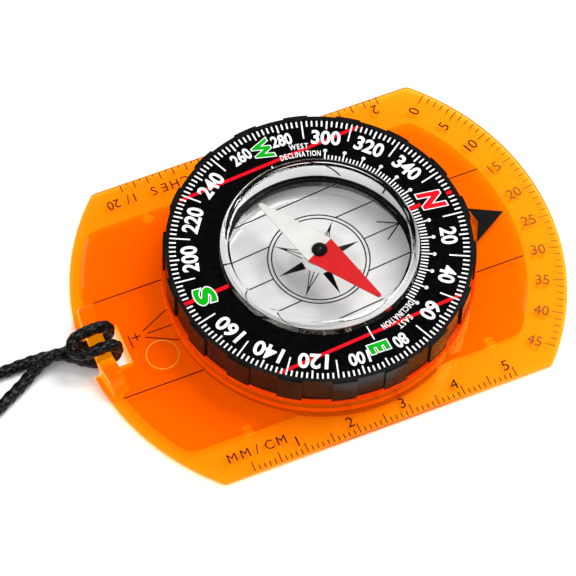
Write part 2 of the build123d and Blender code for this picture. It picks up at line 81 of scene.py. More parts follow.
def place_camera():
    """The camera at the photograph's viewing angle."""
    azimuth, elevation = camera_azimuth, camera_elevation
    back = Vector((cos(elevation) * sin(azimuth), -cos(elevation) * cos(azimuth), sin(elevation)))
    level = Vector((cos(azimuth), sin(azimuth), 0))
    right = cos(camera_roll) * level + sin(camera_roll) * back.cross(level)
    up = back.cross(right)
    spot = camera_aim[0] * right + camera_aim[1] * up + camera_distance * back
    spot += Vector((0, 0, border_top))
    data = bpy.data.cameras.new("camera")
    data.lens = camera_lens
    data.sensor_width = sensor_width
    camera = bpy.data.objects.new("camera", data)
    scene.collection.objects.link(camera)
    turn = Matrix((right, up, back)).transposed().to_4x4()
    camera.matrix_world = Matrix.Translation(spot * MM) @ turn
    scene.camera = camera


place_camera()


# ------------------------------------------------------------------ node helpers
def new_material(name, **principled):
    """A material with a Principled shader; its inputs are set from the keywords."""
    made = bpy.data.materials.new(name)
    made.use_nodes = True
    shader = made.node_tree.nodes["Principled BSDF"]
    for key, value in principled.items():
        shader.inputs[key.replace("_", " ")].default_value = value
    return made


def add_node(made, kind, **inputs):
    """A shader node, with its inputs set or linked from the keywords."""
    node = made.node_tree.nodes.new("ShaderNode" + kind)
    for key, value in inputs.items():
        socket = node.inputs[key.replace("_", " ")]
        if isinstance(value, bpy.types.NodeSocket):
            made.node_tree.links.new(value, socket)
        else:
            socket.default_value = value
    return node


def shader_of(made):
    return made.node_tree.nodes["Principled BSDF"]


def link(made, source, target):
    made.node_tree.links.new(source, target)


def place_of(made, scale=(1, 1, 1)):
    """Object coordinates in metres, stretched."""
    place = add_node(made, "TexCoord").outputs["Object"]
    return add_node(made, "Mapping", Vector=place, Scale=scale).outputs["Vector"]


def grain(made, size, detail=3.0, scale=(1, 1, 1)):
    """A noise whose lumps are about that many millimetres."""
    texture = add_node(made, "TexNoise", Vector=place_of(made, scale), Scale=1 / (size * MM), Detail=detail)
    return texture.outputs["Fac"]


def share_between(made, value, low, high):
    """0 to 1 as the value goes from low to high."""
    span = add_node(made, "MapRange", Value=value)
    span.inputs["From Min"].default_value = low
    span.inputs["From Max"].default_value = high
    return span.outputs["Result"]


def blend_colours(made, share, first, second, low=0.35, high=0.65, target="Base Color"):
    """First colour to second as share goes from low to high."""
    ramp = made.node_tree.nodes.new("ShaderNodeValToRGB")
    link(made, share, ramp.inputs["Fac"])
    ramp.color_ramp.elements[0].position = low
    ramp.color_ramp.elements[0].color = (*first, 1)
    ramp.color_ramp.elements[1].position = high
    ramp.color_ramp.elements[1].color = (*second, 1)
    link(made, ramp.outputs["Color"], shader_of(made).inputs[target])


def vary_roughness(made, share, low, high):
    span = add_node(made, "MapRange", Value=share)
    span.inputs["From Min"].default_value = 0.3
    span.inputs["From Max"].default_value = 0.7
    span.inputs["To Min"].default_value = low
    span.inputs["To Max"].default_value = high
    link(made, span.outputs["Result"], shader_of(made).inputs["Roughness"])


def bump(made, height, depth, strength=1.0):
    """Bumps of that many millimetres."""
    node = add_node(made, "Bump", Height=height, Strength=strength, Distance=depth * MM)
    link(made, node.outputs["Normal"], shader_of(made).inputs["Normal"])


def let_light_in(made):
    """Lets shadow and diffuse rays pass, so that what lies behind clear plastic is lit."""
    path = add_node(made, "LightPath").outputs
    clear = add_node(made, "BsdfTransparent").outputs["BSDF"]
    surface = shader_of(made).outputs["BSDF"]
    for kind in ("Is Shadow Ray", "Is Diffuse Ray"):
        mix = made.node_tree.nodes.new("ShaderNodeMixShader")
        link(made, path[kind], mix.inputs["Fac"])
        link(made, surface, mix.inputs[1])
        link(made, clear, mix.inputs[2])
        surface = mix.outputs["Shader"]
    link(made, surface, made.node_tree.nodes["Material Output"].inputs["Surface"])


# ------------------------------------------------------------------ materials
def orange_acrylic():
    """Clear fluorescent acrylic: deeper where thicker; painted shade makes it redder near the bezel, and a
    painted glow, light emitted by the plate itself, is brightest at its edges.
    """
    # Emission_Strength gives the whole plate a painted glow, coloured further down
    made = new_material(
        "orange_acrylic", Transmission_Weight=1.0, IOR=1.49, Roughness=0.03,
        Specular_Tint=(1.0, 0.4, 0.03, 1), Emission_Strength=0.6,
    )
    bump(made, grain(made, 9.0, detail=1.0), 0.02)
    place = add_node(made, "TexCoord").outputs["Object"]
    away, outward = add_node(made, "VectorMath"), add_node(made, "VectorMath")
    away.operation, outward.operation = "DISTANCE", "LENGTH"
    link(made, place, away.inputs[0])
    link(made, place, outward.inputs[0])
    away.inputs[1].default_value = (0, -14 * MM, 0)
    # painted shade: the base colour is deeper and redder nearer a point just behind the bezel's axis, and
    # paler and yellower further off, standing in for the bezel's shade on the plate
    painted_shade_fade = share_between(made, away.outputs["Value"], 18 * MM, 57 * MM)
    blend_colours(made, painted_shade_fade, (1.0, 0.54, 0.12), (1.0, 0.95, 0.6), 0.0, 1.0)
    facing = add_node(made, "SeparateXYZ", Vector=add_node(made, "NewGeometry").outputs["Normal"])
    height = add_node(made, "SeparateXYZ", Vector=place).outputs["Z"]
    flat, glow_side_or_arch, edge = (add_node(made, "Math") for _ in range(3))
    flat.operation, glow_side_or_arch.operation, edge.operation = "ABSOLUTE", "MAXIMUM", "MULTIPLY"
    link(made, facing.outputs["Z"], flat.inputs[0])
    link(made, share_between(made, flat.outputs["Value"], 0.7, 0.2), glow_side_or_arch.inputs[0])
    link(made, share_between(made, height, 2.4 * MM, 9 * MM), glow_side_or_arch.inputs[1])
    link(made, glow_side_or_arch.outputs["Value"], edge.inputs[0])
    link(made, share_between(made, outward.outputs["Value"], 33 * MM, 36 * MM), edge.inputs[1])
    # painted glow: emission, dim red-orange on flat faces and bright orange on side faces and the arch far
    # from the bezel's axis, standing in for the acrylic's fluorescent edge glow
    blend_colours(
        made, edge.outputs["Value"], (0.26, 0.055, 0.0), (0.95, 0.42, 0.0), 0.0, 1.0, "Emission Color"
    )
    let_light_in(made)
    soak = add_node(made, "VolumeAbsorption", Color=(0.985, 0.79, 0.12, 1), Density=2400)
    link(made, soak.outputs["Volume"], made.node_tree.nodes["Material Output"].inputs["Volume"])
    return made


def clear_plastic(name, ior, tint, roughness=0.0):
    made = new_material(
        name, Transmission_Weight=1.0, IOR=ior, Roughness=roughness
    )
    shader_of(made).inputs["Base Color"].default_value = (*tint, 1)
    bump(made, grain(made, 7.0, detail=1.0), 0.004)
    let_light_in(made)
    return made


def moulded(name, dark, light, rough_low, rough_high, grain_size=0.35, depth=0.004, **more):
    """Moulded plastic or rubber: fine grain, small changes of tone and gloss."""
    made = new_material(name, **more)
    fine = grain(made, grain_size)
    blend_colours(made, grain(made, grain_size * 9), dark, light)
    vary_roughness(made, fine, rough_low, rough_high)
    bump(made, fine, depth)
    return made


def ink(name, colour, shade=0.85):
    """Printed ink: a thin film with a slightly uneven tone."""
    dark = tuple(shade * c for c in colour)
    return moulded(name, dark, colour, 0.32, 0.5, 0.12, 0.001, Specular_IOR_Level=0.06)


def cord_fibre():
    """Shiny black polyester with short fibre ends; the lighter grey specks in its colour are painted
    glints.
    """
    made = new_material("black_cord", Roughness=0.36, Specular_IOR_Level=0.22)
    fibre_bumps_and_glints = grain(made, 0.16, 2.0)
    # painted glints: lighter grey specks where the fibre noise is high; the same noise gives the bumps
    blend_colours(made, fibre_bumps_and_glints, (0.001, 0.001, 0.001), (0.09, 0.09, 0.095), 0.6, 0.7)
    bump(made, fibre_bumps_and_glints, 0.03)
    return made


materials = {
    "orange_acrylic": orange_acrylic(),
    "clear_silicone": clear_plastic("clear_silicone", 1.41, (1.0, 1.0, 0.98), 0.02),
    "white_acetal": moulded("white_acetal", (0.72, 0.71, 0.68), (0.8, 0.79, 0.76), 0.4, 0.55),
    "black_plastic": moulded(
        "black_plastic", (0.004, 0.004, 0.004), (0.009, 0.008, 0.008), 0.14, 0.26, 0.3, 0.002,
        Specular_IOR_Level=0.14,
    ),
    "dial_print": moulded(
        "dial_print", (0.0015, 0.0015, 0.0015), (0.003, 0.003, 0.003), 0.38, 0.5, 0.1, 0.001,
        Specular_IOR_Level=0.0,
    ),
    "clear_acrylic": clear_plastic("clear_acrylic", 1.45, (0.985, 0.985, 0.975)),
    "black_rubber": moulded("black_rubber", (0.008, 0.008, 0.008), (0.016, 0.016, 0.016), 0.5, 0.7),
    "brass": moulded("brass", (0.6, 0.4, 0.14), (0.75, 0.53, 0.22), 0.22, 0.35, Metallic=1.0),
    "pin_steel": moulded("pin_steel", (0.5, 0.5, 0.5), (0.62, 0.61, 0.6), 0.15, 0.25, Metallic=1.0),
    "cream_plastic": moulded("cream_plastic", (0.42, 0.38, 0.29), (0.48, 0.44, 0.34), 0.3, 0.45),
    "magnet_alloy": moulded("magnet_alloy", (0.2, 0.2, 0.21), (0.3, 0.3, 0.31), 0.3, 0.5, Metallic=1.0),
    "needle_red": moulded("needle_red", (0.46, 0.0, 0.001), (0.54, 0.0, 0.002), 0.25, 0.4, 0.6,
                          Specular_IOR_Level=0.1),
    "needle_white": moulded("needle_white", (0.52, 0.51, 0.48), (0.6, 0.59, 0.56), 0.28, 0.42, 0.6,
                            Specular_IOR_Level=0.2),
    "jewel": moulded("jewel", (0.45, 0.01, 0.03), (0.6, 0.02, 0.05), 0.05, 0.12),
    "black_cord": cord_fibre(),
    "tie_rubber": moulded("tie_rubber", (0.01, 0.01, 0.011), (0.02, 0.02, 0.021), 0.45, 0.6),
    "ink_white": ink("ink_white", (0.9, 0.9, 0.9), 0.92),
    "ink_red": ink("ink_red", (0.68, 0.0, 0.01)),
    "ink_green": ink("ink_green", (0.0, 0.38, 0.004)),
    "ink_black": ink("ink_black", (0.006, 0.004, 0.004)),
    "ink_brown": ink("ink_brown", (0.05, 0.0, 0.0)),
    "ink_faint": ink("ink_faint", (0.3, 0.07, 0.01)),
    # a pale orange that paints the highlight on a moulded ring in the plate
    "pale_painted_highlight": ink("pale_painted_highlight", (1.0, 0.3, 0.03)),
}
for part in frame["record"]["subparts"]:
    cad_mesh = frame["nodes"][part["node"]].data
    cad_mesh.materials.clear()
    cad_mesh.materials.append(materials[part["material_slot"]])


def add_piece(name, mesh, material, body):
    """A mesh as a piece of the object, riding on a body."""
    piece = bpy.data.objects.new(name, mesh)
    scene.collection.objects.link(piece)
    if material is not None:
        mesh.materials.append(materials[material])
    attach(piece, body)
    return piece


# ------------------------------------------------------------------ lanyard
cord_diameter = 2.3
cord_lying = 1.2  # height of its centre where it lies on the surface
coil_centre = Vector((-20.0, -76.5, 0))
coil_start_radius = 17.4
coil_pitch = 2.35
coil_points_per_turn = 14
layer_rise = 2.0  # the upper layer nests between the turns of the lower one
tie_azimuth = radians(240)
tie_lift = 0.5  # how far the turns rise to pass over the band's lower side
tie_reach = 9.0  # and how far from the band they start to rise
coil_last_angles = 1584, 1440
upper_layer_angle, upper_layer_inset = 85, 0.35
strand_lengths = 0.393, 0.389  # metres, from the hitch to the end knot

left_route = [
    (-0.25, -46.85, 6.5), (-2.35, -46.95, 6.6), (-2.2, -39.2, 7.75), (-2.2, -39.3, 2.2),
    (-2.4, -43.9, 1.95), (-3.0, -47.9, 1.2), (-3.6, -53.2, 1.2), (-3.3, -60.4, 1.2),
    (-3.9, -67.8, 1.2), (-2.65, -76.5, 1.2),
]
right_route = [
    (-0.25, -46.85, 6.5), (1.95, -46.95, 6.6), (1.85, -39.2, 7.75), (1.85, -39.3, 2.2),
    (1.5, -43.6, 1.95), (-1.3, -47.0, 2.5), (-2.3, -49.6, 3.35), (-1.6, -52.9, 2.4),
    (0.1, -56.2, 1.2), (2.9, -61.6, 1.2), (6.3, -68.0, 1.2), (5.9, -78.5, 1.4),
    (-0.9, -87.0, 3.45), (-9.9, -92.2, 3.45),
]


def coil_turns(first_angle, last_angle, start_radius, height):
    """A clockwise spiral round the coil's centre, angles in degrees, working inwards."""
    step = 360 / coil_points_per_turn
    points = []
    for number in range(1, int((last_angle - first_angle) / step) + 1):
        turned = first_angle + number * step
        angle = radians(-turned)
        radius = start_radius - coil_pitch * (turned - first_angle) / 360
        off_tie = abs((angle - tie_azimuth + pi) % (2 * pi) - pi) * radius
        lift = tie_lift * max(0, 1 - off_tie / tie_reach)
        spot = coil_centre + radius * Vector((cos(angle), sin(angle), 0))
        points.append((spot.x, spot.y, height + lift))
    return points


def into_knot(last_angle, radius, height):
    """A half circle, two diameters in radius, from the innermost turn into the knot."""
    bend, steps = 2 * cord_diameter, 7
    start = radians(-last_angle)
    middle = coil_centre + (radius - bend) * Vector((cos(start), sin(start), 0))
    points = []
    for step in range(steps + 1):
        angle = start - pi * step / steps
        points.append((middle.x + bend * cos(angle), middle.y + bend * sin(angle), height))
    return points


def smooth_points(name, route, closed=False):
    """Points along the smooth NURBS line that has the route as its control points."""
    curve = bpy.data.curves.new(name, "CURVE")
    curve.dimensions = "3D"
    curve.resolution_u = 16
    spline = curve.splines.new("NURBS")
    spline.points.add(len(route) - 1)
    for point, place in zip(spline.points, route):
        point.co = (*(c * MM for c in place), 1)
    spline.order_u = 3
    spline.use_endpoint_u = not closed
    spline.use_cyclic_u = closed
    holder = bpy.data.objects.new(name, curve)
    line = bpy.data.meshes.new_from_object(holder)
    points = [vertex.co.copy() for vertex in line.vertices]
    bpy.data.objects.remove(holder)
    bpy.data.meshes.remove(line)
    bpy.data.curves.remove(curve)
    return points


def even_points(points, spacing, closed=False):
    """The same line with a point every so many millimetres."""
    if closed:
        points = points + points[:1]
    spans = [(after - before).length for before, after in zip(points, points[1:])]
    count = max(2, round(sum(spans) / (spacing * MM)))
    step = sum(spans) / count
    even, span, passed = [], 0, 0.0
    for number in range(count if closed else count + 1):
        target = number * step
        while span < len(spans) - 1 and passed + spans[span] < target:
            passed += spans[span]
            span += 1
        share = (target - passed) / spans[span] if spans[span] > 0 else 0
        even.append(points[span].lerp(points[span + 1], min(1, share)))
    return even


braid_cells = 8  # lozenges round the cord
braid_cell_length = 1.15
braid_relief = 0.3
ring_points = 32
ring_spacing = 0.2


def braid_height(around, along):
    """Relief of a plaited sheath, 0 to 1, at cell coordinates around and along the cord."""
    first, second = around / 2 + along, around / 2 - along
    over = (int(first // 1) + int(second // 1)) % 2
    across, length = (first % 1, second % 1) if over else (second % 1, first % 1)
    return sin(pi * across) ** 0.5 * (0.3 + 0.7 * sin(pi * length) ** 0.5)


def braided_tube(name, points, closed=False):
    """A plaited cord along points: a tube whose skin has crossing strands."""
    centres = even_points(points, ring_spacing, closed)
    count = len(centres)
    tangents = []
    for number in range(count):
        before = centres[number - 1] if closed or number > 0 else centres[0]
        after = centres[(number + 1) % count] if closed or number < count - 1 else centres[-1]
        tangents.append((after - before).normalized())
    side = tangents[0].orthogonal().normalized()
    half = cord_diameter / 2 * MM
    mesh = bmesh.new()
    rings = []
    for number, (centre, tangent) in enumerate(zip(centres, tangents)):
        side = (side - side.dot(tangent) * tangent).normalized()
        other = tangent.cross(side)
        along = number * ring_spacing / (2 * braid_cell_length)
        ring = []
        for place in range(ring_points):
            angle = 2 * pi * place / ring_points
            relief = braid_height(braid_cells * place / ring_points, along)
            radius = half - braid_relief * MM * (1 - relief)
            ring.append(mesh.verts.new(centre + radius * (cos(angle) * side + sin(angle) * other)))
        rings.append(ring)
    pairs = list(zip(rings, rings[1:])) + ([(rings[-1], rings[0])] if closed else [])
    for ring, following in pairs:
        for place in range(ring_points):
            beside = (place + 1) % ring_points
            mesh.faces.new((ring[place], ring[beside], following[beside], following[place]))
    if not closed:
        mesh.faces.new(reversed(rings[0]))
        mesh.faces.new(rings[-1])
    data = bpy.data.meshes.new(name)
    mesh.to_mesh(data)
    mesh.free()
    data.shade_smooth()
    return data


def knot_route():
    """A small overhand knot, as a closed three-lobed loop."""
    spread, rise, middle_height, steps = 0.72, 1.25, 2.5, 24
    points = []
    for step in range(steps):
        turn = 2 * pi * step / steps
        x = spread * (sin(turn) + 2 * sin(2 * turn))
        y = spread * (cos(turn) - 2 * cos(2 * turn))
        points.append((coil_centre.x + x, coil_centre.y + y, middle_height - rise * sin(3 * turn)))
    return points


def tie_band():
    """A soft band round both layers of the coil."""
    inner, outer = 5.4, 18.5  # from the coil's centre
    bottom, top = 0.05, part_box("lanyard_tie")[1].z / MM
    width, thickness, corner_radius, steps = 3.0, 0.5, 0.9, 10
    corners = ((outer, bottom), (outer, top), (inner, top), (inner, bottom))
    mesh = bmesh.new()
    rings = []
    for depth in (0, thickness):
        for edge in (-width / 2, width / 2):
            ring = []
            for corner, (x, z) in enumerate(corners):
                middle_x = x - corner_radius if x == outer else x + corner_radius
                middle_z = z + corner_radius if z == bottom else z - corner_radius
                start = -90 + 90 * corner
                for step in range(steps + 1):
                    angle = radians(start + 90 * step / steps)
                    radius = corner_radius - depth
                    ring.append((middle_x + radius * cos(angle), edge, middle_z + radius * sin(angle)))
            rings.append([mesh.verts.new(place) for place in ring])
    count = len(rings[0])
    for first, second in ((0, 1), (1, 3), (3, 2), (2, 0)):
        for place in range(count):
            beside = (place + 1) % count
            mesh.faces.new(
                (rings[first][place], rings[second][place], rings[second][beside], rings[first][beside])
            )
    bmesh.ops.recalc_face_normals(mesh, faces=mesh.faces)
    data = bpy.data.meshes.new("lanyard_band")
    mesh.to_mesh(data)
    mesh.free()
    data.transform(Matrix.Rotation(tie_azimuth, 4, "Z") @ Matrix.Scale(MM, 4))
    data.transform(Matrix.Translation(coil_centre * MM))
    data.shade_smooth()
    return data


def add_lanyard():
    """Both strands of the hitched neck cord, their put-away coil, its band and the end knot."""
    ends = []
    upper_radius = coil_start_radius - upper_layer_inset
    for first, last, start_radius, height in (
        (0, coil_last_angles[0], coil_start_radius, cord_lying),
        (upper_layer_angle, coil_last_angles[1], upper_radius, cord_lying + layer_rise),
    ):
        last_radius = start_radius - coil_pitch * (last - first) / 360
        turns = coil_turns(first, last, start_radius, height)
        ends.append(turns + into_knot(last, last_radius, height))
    left = smooth_points("left_line", left_route + ends[0])
    right = smooth_points("right_line", right_route + ends[1])
    knot = add_piece(
        "end_knot", braided_tube("end_knot", smooth_points("knot_line", knot_route(), True), True),
        "black_cord", "baseplate",
    )
    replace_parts(knot, "lanyard_knot")
    band = add_piece("coil_band", tie_band(), "tie_rubber", "baseplate")
    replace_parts(band, "lanyard_tie")
    strands = []
    for name, points, length in zip(("strand_left", "strand_right"), (left, right), strand_lengths):
        strand = add_piece(name, braided_tube(name, points), "black_cord", "baseplate")
        strands.append(strand)
    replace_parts(strands[0], "lanyard_left", "lanyard_coil")
    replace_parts(strands[1], "lanyard_right")


add_lanyard()


# ------------------------------------------------------------------ printed marks
def at(radius, azimuth):
    """A point at that radius and azimuth."""
    return radius * sin(radians(azimuth)), radius * cos(radians(azimuth))


class Ink:
    """Thin closed films on one level, gathered into one mesh.  Millimetres and degrees."""

    film = 0.02
    ring_steps = 96
    dot_steps = 8

    def __init__(self, level):
        self.low = level - self.film / 4
        self.high = self.low + self.film
        self.mesh = bmesh.new()

    def band(self, left, right, closed=False):
        """A film between two lines with as many points each."""
        lines = []
        for line in (left, right):
            for height in (self.low, self.high):
                lines.append([self.mesh.verts.new((x, y, height)) for x, y in line])
        count = len(left)
        for here in range(count if closed else count - 1):
            there = (here + 1) % count
            for first, second in ((0, 1), (1, 3), (3, 2), (2, 0)):
                self.mesh.faces.new(
                    (lines[first][here], lines[second][here], lines[second][there], lines[first][there])
                )
        if not closed:
            for end in (0, -1):
                self.mesh.faces.new([lines[line][end] for line in (0, 1, 3, 2)])

    def line(self, start, end, width):
        along = Vector(end) - Vector(start)
        aside = Vector((-along.y, along.x)).normalized() * width / 2
        self.band(
            [Vector(start) + aside, Vector(end) + aside], [Vector(start) - aside, Vector(end) - aside]
        )

    def tick(self, azimuth, inner, outer, width):
        self.line(at(inner, azimuth), at(outer, azimuth), width)

    def ring(self, centre, radius, width):
        angles = [2 * pi * step / self.ring_steps for step in range(self.ring_steps)]
        rims = [
            [(centre[0] + r * cos(a), centre[1] + r * sin(a)) for a in angles]
            for r in (radius - width / 2, radius + width / 2)
        ]
        self.band(rims[0], rims[1], closed=True)

    def dot(self, centre, radius):
        angles = [pi * step / self.dot_steps for step in range(1, self.dot_steps)]
        self.band(*(
            [(centre[0] + radius * cos(a), centre[1] + side * radius * sin(a)) for a in angles]
            for side in (1, -1)
        ))

    def shape(self, outline):
        """A film with any outline, listed counter-clockwise."""
        rings = [[self.mesh.verts.new((x, y, z)) for x, y in outline] for z in (self.low, self.high)]
        self.mesh.faces.new(list(reversed(rings[0])))
        self.mesh.faces.new(rings[1])
        for here in range(len(outline)):
            there = (here + 1) % len(outline)
            self.mesh.faces.new((rings[0][here], rings[0][there], rings[1][there], rings[1][here]))

    def text(self, body, centre, height, turn, width=None, weight=0.0, slant=0.0):
        """Lettering centred on a point, turned counter-clockwise by turn."""
        glyphs, size = lettering(body, weight, slant)
        tall = height / size.y
        wide = tall if width is None else width / size.x
        place = Matrix.Translation((*centre, 0)) @ Matrix.Rotation(radians(turn), 4, "Z")
        place = place @ Matrix.Diagonal((wide, tall, 1, 1))
        glyphs.transform(place)
        for vertex in glyphs.vertices:
            vertex.co.z = self.high if vertex.co.z > 0 else self.low
        self.mesh.from_mesh(glyphs)
        bpy.data.meshes.remove(glyphs)

    def text_on_arc(self, body, radius, azimuth, height, squeeze, weight, gap):
        """Small lettering along an arc, tops outward."""
        widths = []
        for letter in body:
            glyphs, size = lettering(letter, weight, 0)
            bpy.data.meshes.remove(glyphs)
            widths.append(squeeze * height * size.x / size.y)
        place = -(sum(widths) + gap * (len(body) - 1)) / 2
        for letter, width in zip(body, widths):
            spot = azimuth + (place + width / 2) / radius * 180 / pi
            self.text(letter, at(radius, spot), height, -spot, width, weight)
            place += width + gap

    def piece(self, name, material, body, slot, turn=0.0):
        """The gathered films as one piece, turned counter-clockwise about the bezel's axis."""
        bmesh.ops.recalc_face_normals(self.mesh, faces=self.mesh.faces)
        data = bpy.data.meshes.new(name)
        self.mesh.to_mesh(data)
        self.mesh.free()
        data.transform(Matrix.Rotation(radians(turn), 4, "Z") @ Matrix.Scale(MM, 4))
        return add_piece(name, data, material, body)


def lettering(body, weight, slant):
    """A closed mesh of the letters, centred, and its size."""
    curve = bpy.data.curves.new("letters", "FONT")
    curve.body = body
    curve.offset = weight
    curve.shear = slant
    curve.extrude = 0.5
    curve.resolution_u = 4
    holder = bpy.data.objects.new("letters", curve)
    scene.collection.objects.link(holder)
    bpy.context.view_layer.update()
    glyphs = bpy.data.meshes.new_from_object(holder.evaluated_get(bpy.context.evaluated_depsgraph_get()))
    bpy.data.objects.remove(holder)
    bpy.data.curves.remove(curve)
    shape = bmesh.new()
    shape.from_mesh(glyphs)
    bmesh.ops.remove_doubles(shape, verts=shape.verts, dist=1e-5)
    shape.to_mesh(glyphs)
    shape.free()
    glyphs.materials.clear()
    xs = [vertex.co.x for vertex in glyphs.vertices]
    ys = [vertex.co.y for vertex in glyphs.vertices]
    glyphs.transform(Matrix.Translation((-(min(xs) + max(xs)) / 2, -(min(ys) + max(ys)) / 2, 0)))
    return glyphs, Vector((max(xs) - min(xs), max(ys) - min(ys)))


def print_centimetres():
    """The millimetre scale and its lettering, on the +X edge."""
    first_y, edge = -25.3, 31.6
    marks = Ink(border_top)
    for number in range(51):
        y = first_y + number
        inner = 29.6 if number % 5 == 0 else 30.6
        marks.line((inner, y), (edge, y), 0.19)
        if number % 10 == 0 and number > 0:
            marks.text(str(number // 10), (28.9, y - 1.0), 2.0, 90)
    for letter, y, height in (
        ("M", -28.1, 1.75), ("M", -25.6, 1.75), ("/", -23.4, 2.0), ("C", -21.1, 1.8), ("M", -18.8, 1.75)
    ):
        marks.text(letter, (27.65, y), height, 90)
    marks.piece("centimetre_scale", "ink_brown", "baseplate", "orange_acrylic")


def print_inches():
    """The inch scale in twentieths and its lettering, on the -X edge."""
    first_y, edge, step = -25.6, -31.6, 1.27
    marks = Ink(border_top)
    for number in range(41):
        y = first_y + number * step
        inner = -30.1 if number % 2 == 0 else -31.1
        marks.line((inner, y), (edge, y), 0.18)
    for letters, y, height in (
        ("I", -10.4, 1.75), ("N", -12.0, 1.75), ("C", -14.1, 1.8), ("H", -16.2, 1.75), ("E", -18.2, 1.75),
        ("S", -20.2, 1.8), ("1", -24.0, 1.75), ("/", -25.3, 2.0), ("20", -28.1, 1.8),
    ):
        marks.text(letters, (-28.2, y), height, -90)
    marks.text("2", (-29.2, first_y + 40 * step - 1.1), 1.9, -90)
    marks.piece("inch_scale", "ink_brown", "baseplate", "orange_acrylic")


def print_arc_scale():
    """The 0 to 45 scale along the front arc; its numbers read outward."""
    units, unit, first = 45, 1.8, -40.5
    dark, faint = Ink(border_top), Ink(border_top)
    for number in range(units + 1):
        marks = dark if number < 13 else faint
        azimuth = first + unit * number
        inner, outer = (42.3, 44.3) if number % 5 == 0 else (43.0, 44.2)
        marks.tick(azimuth, inner, outer, 0.16)
        if number % 5 == 0:
            marks.text(str(number), at(40.4, azimuth), 2.0, 90 - azimuth)
    dark.piece("arc_scale_first", "ink_brown", "baseplate", "orange_acrylic")
    faint.piece("arc_scale_rest", "ink_faint", "baseplate", "orange_acrylic")


def print_panel():
    """Lines of travel, the travel arrow, the small marks behind the bezel and a pale ring there, a painted
    highlight standing in for light on a moulded ring.
    """
    marks = Ink(panel_top)
    line_width, bezel_edge = 0.22, 28.0
    for x, rear, front in ((-9.9, -39.2, 36.0), (10.0, -41.4, 36.0)):
        y = sqrt(bezel_edge**2 - x**2)
        marks.line((x, rear), (x, -y), line_width)
        marks.line((x, y), (x, front), line_width)
    marks.line((-1.4, -36.0), (1.3, -36.0), 0.2)
    marks.line((-1.45, -34.7), (0.15, -34.7), 0.22)
    marks.line((-0.65, -35.5), (-0.65, -33.9), 0.22)
    for start, end in (
        ((-1.3, -33.2), (-3.8, -27.9)), ((-0.6, -32.6), (-0.6, -28.05)), ((0.0, -33.2), (2.7, -27.95))
    ):
        marks.line(start, end, 0.2)
    marks.piece("panel_lines", "ink_brown", "baseplate", "orange_acrylic")
    # painted highlight: a pale orange ring printed where light catches a moulded ring in the plate
    painted_ring_highlight = Ink(panel_top)
    painted_ring_highlight.ring((4.4, -31.7), 2.9, 0.22)
    painted_ring_highlight.piece("moulded_ring_highlight", "pale_painted_highlight", "baseplate", "orange_acrylic")
    arrow = Ink(panel_top)
    arrow.shape([(0.17, 36.6), (-2.9, 30.8), (0.4, 31.4), (4.3, 29.4)])
    arrow.piece("travel_arrow", "ink_black", "baseplate", "orange_acrylic")


dial_radius = 26.6
tick_inner, twenty_inner, ten_inner = 25.4, 24.9, 22.9  # of ticks each 2, 20 and 10 degrees
declination_inner, declination_outer = 18.0, 20.2
red_width = 0.75


def print_dial():
    """Degree ticks, numbers, letters, the red orienting lines and the declination scale."""
    white, red = Ink(dial_top), Ink(dial_top - 0.004)
    for degree in range(0, 360, 2):
        if degree in (0, 180):
            continue
        inner, width = tick_inner, 0.3
        if degree % 20 == 0:
            inner = twenty_inner
        elif degree % 10 == 0:
            inner, width = ten_inner, 0.26
        if degree in (90, 270):
            inner = twenty_inner
        white.tick(degree, inner, dial_radius, width)
    for degree in range(20, 360, 20):
        if degree == 180:
            continue
        beside_letter = degree in (80, 100, 260, 280)
        height, radius, wide = (2.5, 23.3, 1.27) if beside_letter else (3.0, 23.05, 1.77)
        white.text(str(degree), at(radius, degree), height, -degree, wide * len(str(degree)), 0.028)
    for degree in range(-60, 61, 2):
        if degree == 0:
            continue
        if degree % 10 == 0:
            white.tick(degree, declination_inner, declination_outer, 0.24)
            white.dot(at(20.3, degree), 0.36)
        else:
            white.tick(degree, declination_inner, 19.35, 0.24)
    white.tick(90, 17.9, 20.8, 0.22)
    white.tick(270, 17.9, 18.8, 0.22)
    for azimuth, side, outer, inner in ((-73, "WEST", 21.35, 19.7), (72, "EAST", 21.0, 19.4)):
        white.text_on_arc(side, outer, azimuth, 1.15, 0.72, 0.012, 0.18)
        white.text_on_arc("DECLINATION", inner, azimuth, 1.15, 0.62, 0.012, 0.16)
    red.tick(0, tick_inner, dial_radius, red_width)
    red.tick(0, declination_inner, declination_outer, red_width)
    red.tick(180, declination_inner, dial_radius, red_width)
    for x in (-19.5, 19.5):
        reach = sqrt(dial_radius**2 - x**2) - 0.1
        red.line((x, -reach), (x, reach), 0.65)
    outline, green, letter_red = Ink(dial_top + 0.008), Ink(dial_top + 0.02), Ink(dial_top + 0.02)
    rim = 0.2
    for ink_layer, letter, azimuth, radius, height, width, slant in (
        (green, "S", 180, 22.6, 3.7, 3.7, 0.1), (green, "E", 90, 22.5, 3.6, 2.2, 0.1),
        (green, "W", 270, 22.6, 3.3, 4.3, 0), (letter_red, "N", 0, 22.4, 4.2, 4.4, 0.25),
    ):
        outline.text(letter, at(radius, azimuth), height + 2 * rim, 0, width + 2 * rim, 0.085, slant)
        ink_layer.text(letter, at(radius, azimuth), height, 0, width, 0.05, slant)
    for marks, name, material in (
        (white, "dial_numbers", "ink_white"), (red, "dial_red_lines", "ink_red"),
        (outline, "letter_outlines", "ink_white"), (green, "dial_letters", "ink_green"),
        (letter_red, "dial_north", "ink_red"),
    ):
        marks.piece(name, material, "bezel", "dial_print", bezel_turn)


